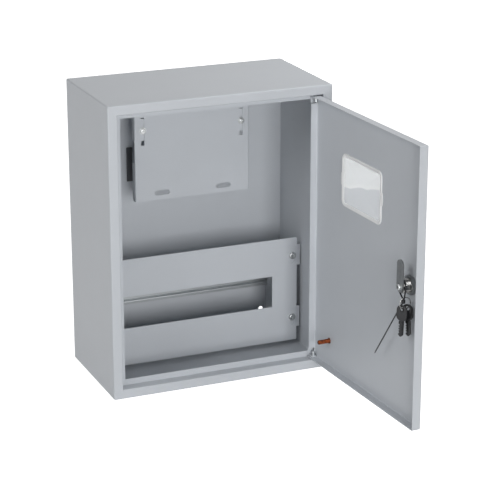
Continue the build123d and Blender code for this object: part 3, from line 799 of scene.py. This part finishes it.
@dataclass
class CamLock:
    """The cam lock: a threaded barrel with two flats behind a rosette, with its plug, nut and cam."""

    barrel_radius: float = 9.0
    flat_half: float = 8.0
    barrel_length: float = 16.7
    rear_chamfer: float = 0.7
    rear_plain: float = 0.6
    bore_radius: float = 5.58
    bore_chamfer: float = 0.2
    rosette_radius: float = 11.5
    rosette_height: float = 2.4
    rosette_round: float = 1.2
    groove_radius: float = 7.4
    groove_depth: float = 0.25
    groove_half: float = 0.5
    groove_floor_half: float = 0.2
    pitch: float = 1.0
    thread_depth: float = 0.45
    thread_from: float = 1.4
    neck_step: float = 0.1
    rows_a_pitch: int = 8
    dome_rows: int = 8
    columns: int = 96

    def housing(self, finishes: Finishes) -> None:
        """Builds the housing as a closed profile turned round the lock's axis.

        The profile runs from the bore over the rear face, down the barrel, round the rosette and back.
        On the barrel the radius loses a triangle wave that climbs one pitch a turn, and is then held to
        the flats: half their distance over the cosine of the angle.

        Args:
            finishes: The finishes to choose from.
        """
        axes = door_axes("lock_housing")
        rear, front, top = -self.barrel_length, -self.thread_from, self.rosette_height
        back = np.array(((self.bore_radius, rear), (self.barrel_radius - self.rear_chamfer, rear)))
        climb = np.arange(rear + self.rear_plain, front, self.pitch / self.rows_a_pitch)
        barrel = np.stack((np.full(climb.shape, self.barrel_radius), climb), axis=-1)
        neck = np.array(((self.barrel_radius, front + self.neck_step), (self.barrel_radius, 0.0),
                         (self.rosette_radius, 0.0)))
        bend = np.linspace(0.0, pi / 2, self.dome_rows)
        dome = np.stack((self.rosette_radius - self.rosette_round * (1 - np.cos(bend)),
                         top - self.rosette_round * (1 - np.sin(bend))), axis=-1)
        groove = top - self.groove_depth
        face = np.array((
            (self.groove_radius + self.groove_half, top),
            (self.groove_radius + self.groove_floor_half, groove),
            (self.groove_radius - self.groove_floor_half, groove),
            (self.groove_radius - self.groove_half, top),
            (self.bore_radius + self.bore_chamfer, top),
            (self.bore_radius, top - self.bore_chamfer)))
        profile = np.concatenate((back, barrel, neck, dome, face))
        plain, out = profile[:, :1], profile[:, 1:]
        angle = np.linspace(0.0, 2 * pi, self.columns, endpoint=False)[None, :]
        on_barrel = (out >= rear + self.rear_plain) & (out < front)
        tooth = triangle_wave(out / self.pitch - angle / (2 * pi))
        threaded = plain - np.where(on_barrel, self.thread_depth * tooth, 0.0)
        flat = self.flat_half / np.maximum(np.abs(np.cos(angle)), TINY)
        outside = (out < 0.0) & (plain > self.bore_radius)
        radius = np.where(outside, np.minimum(threaded, flat), threaded)
        grid = axes.at(radius * np.cos(angle), radius * np.sin(angle), out)
        piece = surface("threaded_lock_housing", [Patch(grid, Wrap.BOTH)])
        install(piece, "door", "lock_housing", "lock_chrome", finishes.nickel)

    def build(self, finishes: Finishes) -> None:
        """Builds the housing and dresses the rest of the lock.

        Args:
            finishes: The finishes to choose from.
        """
        self.housing(finishes)
        dress(("lock_plug",), finishes.nickel)
        dress(("lock_nut", "lock_cam"), finishes.cam_steel)
        dress(("cam_screw",), finishes.zinc)


@dataclass
class CableTie:
    """The nylon tie that hangs the keys on the lock: strap, head and a long ridged tail."""

    loop_radius: float = 9.3
    seat_radius: float = 1.4
    strap: float = 1.0
    strap_round: float = 0.25
    width: float = 1.9
    seat_across: float = -4.7
    seat_up: float = -13.8
    inset: float = 14.4
    head: float = 5.0
    head_width: float = 3.8
    tail: float = 114.0
    tail_angle: float = -53.8
    ridge_pitch: float = 1.3
    ridge_depth: float = 0.25
    tip: float = 7.0
    tail_thin: float = 0.75
    twist_run: float = 12.0
    rows_a_ridge: int = 5
    loop_rows: int = 120
    columns: int = 20

    def depth(self) -> float:
        """Place of the strap's middle along the door's outward direction."""
        return -self.inset - self.width / 2

    def head_up(self) -> float:
        """Height of the head's middle over the lock's axis."""
        return self.seat_up - self.seat_radius - self.strap / 2 - self.head / 2

    def section(self) -> np.ndarray:
        """Section of the strap: a rectangle with round corners, thickness by width."""
        return rounded_outline(self.strap / 2, self.width / 2, self.strap_round, self.columns)[0]

    def loop(self, axes: Axes) -> Patch:
        """Builds the strap's loop.

        Its middle line is the outline of the two circles that it goes round: at each angle the point is
        on the circle that reaches further that way, and the gaps between them are the straight runs.

        Args:
            axes: Axes of the lock on the door's outer face.

        Returns:
            The closed loop.
        """
        angle = np.linspace(0.0, 2 * pi, self.loop_rows, endpoint=False)
        way = np.stack((np.cos(angle), np.sin(angle)), axis=-1)
        seat = np.array((self.seat_across, self.seat_up))
        further = way @ seat + self.seat_radius > self.loop_radius
        centre = np.where(further[:, None], seat, 0.0)
        reach = np.where(further, self.seat_radius, self.loop_radius) + self.strap / 2
        line = centre + reach[:, None] * way
        path = axes.at(line[:, 0], line[:, 1], self.depth())
        side = way[:, :1] * axes.across + way[:, 1:] * axes.up
        lift = np.broadcast_to(axes.out, side.shape)
        return Patch(carry(path, side, lift, self.section()), Wrap.BOTH)

    def tail_run(self, axes: Axes) -> Patch:
        """Builds the straight tail.

        Its thickness loses a saw wave on one face, its width narrows in a quarter ellipse over the tip,
        and both ends shrink to the middle line. Behind the head it twists by a quarter turn in a smooth
        step.

        Args:
            axes: Axes of the lock on the door's outer face.

        Returns:
            The closed tail.
        """
        ridges = np.arange(0.0, self.tail, self.ridge_pitch / self.rows_a_ridge)
        along = np.concatenate(((0.0,), ridges, (self.tail,)))
        slope = radians(self.tail_angle)
        path = axes.at(self.seat_across + along * cos(slope), self.head_up() + along * sin(slope),
                       self.depth())
        left = np.clip((self.tail - along) / self.tip, 0.0, 1.0)
        narrow = np.sqrt(1.0 - (1.0 - left) ** 2)
        narrow[0] = 0.0
        saw = self.ridge_depth * ((along / self.ridge_pitch) % 1.0) * (left >= 1.0)
        thin, flat = (self.section() * (self.tail_thin, 1.0)).T
        thick = (thin - np.where(thin > 0, saw[:, None], 0.0)) * narrow[:, None]
        wide = flat * narrow[:, None]
        step = np.clip(along / self.twist_run, 0.0, 1.0)
        twist = (pi / 2 * step ** 2 * (3 - 2 * step))[:, None]
        turned = np.stack((thick * np.cos(twist) - wide * np.sin(twist),
                           thick * np.sin(twist) + wide * np.cos(twist)), axis=-1)
        side = np.broadcast_to(-sin(slope) * axes.across + cos(slope) * axes.up, path.shape)
        lift = np.broadcast_to(axes.out, path.shape)
        return Patch(carry(path, side, lift, turned), Wrap.AROUND)

    def build(self, finishes: Finishes) -> None:
        """Builds the tie.

        Args:
            finishes: The finishes to choose from.
        """
        axes = door_axes("lock_housing")
        middle = (self.seat_across, self.head_up(), self.depth())
        head = rounded_block(axes, middle, (self.head / 2, self.head / 2, self.head_width / 2))
        parts = [self.loop(axes), self.tail_run(axes), Patch(head, Wrap.AROUND)]
        piece = surface("cable_tie_strap", parts)
        install(piece, "door", "cable_tie", "black_plastic", finishes.nylon)


@dataclass
class Keys:
    """Two keys on a split ring: moulded bows, cut blades and a ring of two coils."""

    ring_radius: float = 7.5
    ring_wire: float = 1.2
    ring_start: float = 140.0
    coils: float = 2.0
    coil_gap: float = 0.02
    coil_flat: float = 0.05
    crossing_slope: float = 9.0
    end_turns: float = 0.01
    spread: float = 8.0
    hang: float = 1.5
    turn: float = 30.0
    tilts: tuple[float, float] = (2.0, -3.0)
    thickness: float = 2.0
    bow_half_width: float = 7.25
    bow_half_height: float = 10.5
    bow_corner: float = 6.5
    hole_radius: float = 2.75
    hole_edge: float = 2.4
    hole_round: float = 0.3
    edge_round: float = 0.7
    # Shares of the way from the hole to the outline: the rows over a face, and how soon the grip sinks.
    face_rows: tuple[float, ...] = (0.06, 0.28, 0.36, 0.44, 0.6, 0.74, 0.8, 0.86)
    grip_from: float = 0.28
    grip_to: float = 0.86
    grip_slope: float = 0.1
    grip_depth: float = 0.35
    edge_rows: int = 9
    bow_columns: int = 88
    ring_rows: int = 181
    ring_columns: int = 14

    def hung_axes(self, side: int, tilt: float) -> Axes:
        """Axes of one key at the middle of its hole.

        Args:
            side: One for the key further from the door, minus one for the nearer.
            tilt: Swing of the key in its own plane, in degrees.

        Returns:
            Axes across the key, up the key and out of its face.
        """
        door = door_axes("key_ring")
        wire_drop = sqrt(self.ring_radius ** 2 - (self.spread / 2) ** 2)
        drop = wire_drop - self.ring_wire / 2 - self.hang + self.hole_radius
        origin = middle_of("key_ring") + MM * (-side * self.spread / 2 * door.out - drop * UP)
        turn, swing = radians(self.turn), radians(tilt)
        face = door.out * cos(turn) + door.across * sin(turn)
        flat = door.across * cos(turn) - door.out * sin(turn)
        across = flat * cos(swing) + UP * sin(swing)
        return Axes(origin, across, UP * cos(swing) - flat * sin(swing), face)

    def bow(self, axes: Axes) -> Patch:
        """Builds one bow as a closed profile carried round its hole.

        A column runs from the hole to the outline along a ray. Along it the profile goes over the front
        face with its sunk grip, round the outer edge, back over the rear face and up the hole's edge.

        Args:
            axes: Axes of the key at its hole.

        Returns:
            The closed bow.
        """
        outline = rounded_outline(self.bow_half_width, self.bow_half_height, self.bow_corner,
                                  self.bow_columns)[0]
        outline = outline + (0.0, self.hole_radius + self.hole_edge - self.bow_half_height)
        reach = np.linalg.norm(outline, axis=1)
        ray = outline / reach[:, None]
        half, lip, edge = self.thickness / 2, self.hole_round, self.edge_round
        share = np.array(self.face_rows)
        inside = np.minimum(share - self.grip_from, self.grip_to - share)
        sunk = self.grip_depth * np.clip(inside / self.grip_slope, 0.0, 1.0)
        bend = np.linspace(pi / 2, -pi / 2, self.edge_rows)
        # Share of the way from hole to outline, a step added to it in millimetres, and the height.
        front = np.stack((share, np.zeros(share.shape), half - sunk), axis=-1)
        rim = np.stack((np.ones(bend.shape), edge * (np.cos(bend) - 1),
                        (half - edge) * np.sign(bend) + edge * np.sin(bend)), axis=-1)
        rear = front[::-1] * (1, 1, -1)
        bore = np.array(((0.0, lip, -half), (0.0, 0.0, lip - half), (0.0, 0.0, half - lip),
                         (0.0, lip, half)))
        profile = np.concatenate((front, rim, rear, bore))
        radius = self.hole_radius + profile[:, :1] * (reach - self.hole_radius) + profile[:, 1:2]
        return Patch(axes.at(radius * ray[:, 0], radius * ray[:, 1], profile[:, 2:]), Wrap.BOTH)

    def ring(self) -> Patch:
        """Builds the split ring: one strip wound twice round a circle.

        The strip's middle steps over from the first coil to the second in a smooth ramp, and its ends
        shrink to a point.

        Returns:
            The closed ring.
        """
        door = door_axes("key_ring")
        axes = Axes(middle_of("key_ring"), door.out, UP, door.across)
        turns = np.linspace(0.0, self.coils, self.ring_rows)
        angle = 2 * pi * turns + radians(self.ring_start)
        half_coil = self.ring_wire / 4
        shift = half_coil * np.tanh((turns - self.coils / 2) * self.crossing_slope)
        path = axes.at(self.ring_radius * np.cos(angle), self.ring_radius * np.sin(angle), shift)
        side = np.cos(angle)[:, None] * axes.across + np.sin(angle)[:, None] * axes.up
        lift = np.broadcast_to(axes.out, side.shape)
        section = rounded_outline(self.ring_wire / 2 - self.coil_gap, half_coil - self.coil_gap,
                                  half_coil - self.coil_flat, self.ring_columns)[0]
        full = np.clip(np.minimum(turns, self.coils - turns) / self.end_turns, 0.0, 1.0)
        return Patch(carry(path, side, lift, section[None] * full[:, None, None]), Wrap.AROUND)

    def build(self, finishes: Finishes) -> None:
        """Builds the bows and the ring, and dresses the blades.

        Args:
            finishes: The finishes to choose from.
        """
        bows = [self.bow(self.hung_axes(side, tilt)) for side, tilt in zip((1, -1), self.tilts)]
        install(surface("moulded_key_bows", bows), "door", "key_bows", "black_plastic", finishes.nylon)
        install(surface("split_key_ring", [self.ring()]), "door", "key_ring", "key_steel", finishes.nickel)
        dress(("key_blades",), finishes.key_steel)


@dataclass(frozen=True)
class SoftBox:
    """A square soft lamp: its name, its place and side in metres, and its power in watts."""

    name: str
    place: tuple[float, float, float]
    side: float
    watts: float

    def light(self, target: tuple[float, float, float]) -> None:
        """Adds the lamp to the scene.

        Args:
            target: Point that it faces, in metres.
        """
        data = bpy.data.lights.new(self.name, "AREA")
        data.size = self.side
        data.energy = self.watts
        made = bpy.data.objects.new(self.name, data)
        made.location = self.place
        made.rotation_mode = "QUATERNION"
        made.rotation_quaternion = (Vector(target) - Vector(self.place)).to_track_quat("-Z", "Y")
        bpy.context.scene.collection.objects.link(made)


@dataclass
class Studio:
    """Pale floor, soft lamps, white surroundings and the camera."""

    floor_gap: float = 0.0002
    floor_half: float = 12.0
    floor_grey: float = 0.86
    floor_lift: float = 0.875
    ambient: float = 0.15
    lamp_target: tuple[float, float, float] = (0.03, -0.15, 0.0)
    # The rear lamp stands lower than the enclosure's top, so that it doesn't mirror there.
    lamps: tuple[SoftBox, ...] = (
        SoftBox("front_soft_box", (-0.4, -3.2, 0.34), 1.3, 50.0),
        SoftBox("top_soft_box", (0.6, -0.22, 1.0), 0.4, 4.4),
        SoftBox("left_soft_box", (-3.4, -1.6, 2.3), 1.8, 46.0),
        SoftBox("rear_soft_box", (1.3, 2.6, 0.0), 0.36, 36.0))
    camera_at: tuple[float, float, float] = (-0.8972, -2.3572, 0.7835)
    camera_yaw: float = 23.096
    camera_pitch: float = -18.524
    camera_clip: tuple[float, float] = (0.05, 60.0)
    sensor_mm: float = 36.0
    focal_px: float = 1912.5
    frame_px: float = 500.0

    def white_to_the_eye(self, tree: bpy.types.NodeTree) -> bpy.types.NodeSocket:
        """Tells the rays that show the background from the rays that light the object.

        Args:
            tree: Node tree of the world or of the floor.

        Returns:
            One for camera, mirror and see-through rays, zero for the others.
        """
        rays = add_node(tree, "ShaderNodeLightPath").outputs
        seen = add_node(tree, "ShaderNodeMath", {
            0: rays["Is Camera Ray"], 1: rays["Is Glossy Ray"]}, operation="MAXIMUM")
        return add_node(tree, "ShaderNodeMath", {
            0: seen.outputs[0], 1: rays["Is Transmission Ray"]}, operation="MAXIMUM").outputs[0]

    def surroundings(self) -> None:
        """Lights the scene evenly, and shows white to the camera, in gloss and through the window."""
        world = bpy.data.worlds.new("white_studio")
        bpy.context.scene.world = world
        world.use_nodes = True
        tree = world.node_tree
        tree.nodes.clear()
        bright = add_node(tree, "ShaderNodeMix", {
            "Factor": self.white_to_the_eye(tree), LOW: self.ambient, HIGH: 1.0}, data_type="FLOAT")
        light = add_node(tree, "ShaderNodeBackground", {
            "Color": WHITE, "Strength": bright.outputs[MIXED]})
        add_node(tree, "ShaderNodeOutputWorld", {"Surface": light.outputs["Background"]})

    def floor(self) -> None:
        """Lays a wide pale floor that takes the object's shadow and shows white elsewhere.

        It is a flat square just under the CAD box. Matt paper gives the shadow, and a glow that only the
        eye's rays see lifts the rest to white.
        """
        spread = np.array((-self.floor_half, self.floor_half))
        x, y = np.meshgrid(spread, spread, indexing="ij")
        level = np.full_like(x, cad_box[0][2] - self.floor_gap)
        made = surface("studio_floor", [Patch(np.stack((x, y, level), axis=-1), Wrap.OPEN)])
        paper = bpy.data.materials.new("white_paper_floor")
        paper.use_nodes = True
        tree = paper.node_tree
        tree.nodes.clear()
        lift = add_node(tree, "ShaderNodeMath", {
            0: self.white_to_the_eye(tree), 1: self.floor_lift}, operation="MULTIPLY")
        grey = self.floor_grey
        matt = add_node(tree, "ShaderNodeBsdfDiffuse", {"Color": (grey, grey, grey, 1.0)})
        glow = add_node(tree, "ShaderNodeEmission", {"Color": WHITE, "Strength": lift.outputs[0]})
        both = add_node(tree, "ShaderNodeAddShader", {0: matt.outputs["BSDF"], 1: glow.outputs["Emission"]})
        add_node(tree, "ShaderNodeOutputMaterial", {"Surface": both.outputs["Shader"]})
        made.data.materials.append(paper)

    def camera(self) -> None:
        """Stands the camera where the photograph was taken from."""
        data = bpy.data.cameras.new("studio_camera")
        data.sensor_width = self.sensor_mm
        data.lens = self.focal_px * self.sensor_mm / self.frame_px
        data.clip_start, data.clip_end = self.camera_clip
        made = bpy.data.objects.new("studio_camera", data)
        made.location = self.camera_at
        made.rotation_euler = (radians(90 + self.camera_pitch), 0.0, radians(-self.camera_yaw))
        bpy.context.scene.collection.objects.link(made)
        bpy.context.scene.camera = made

    def build(self) -> None:
        """Sets up the whole studio."""
        bpy.context.scene.view_settings.view_transform = "Standard"
        self.surroundings()
        self.floor()
        for lamp in self.lamps:
            lamp.light(self.lamp_target)
        self.camera()


def main() -> None:
    """Builds the enclosure's looks in order and reports each piece."""
    logging.basicConfig(level=logging.INFO, format="%(name)s: %(message)s")
    finishes = Finishes()
    Cabinet().build(finishes)
    MeterMount().build(finishes)
    ModuleBay().build(finishes)
    Door().build(finishes)
    CamLock().build(finishes)
    CableTie().build(finishes)
    Keys().build(finishes)
    Studio().build()
    log.info("sizes written")


if __name__ == "__main__":
    main()
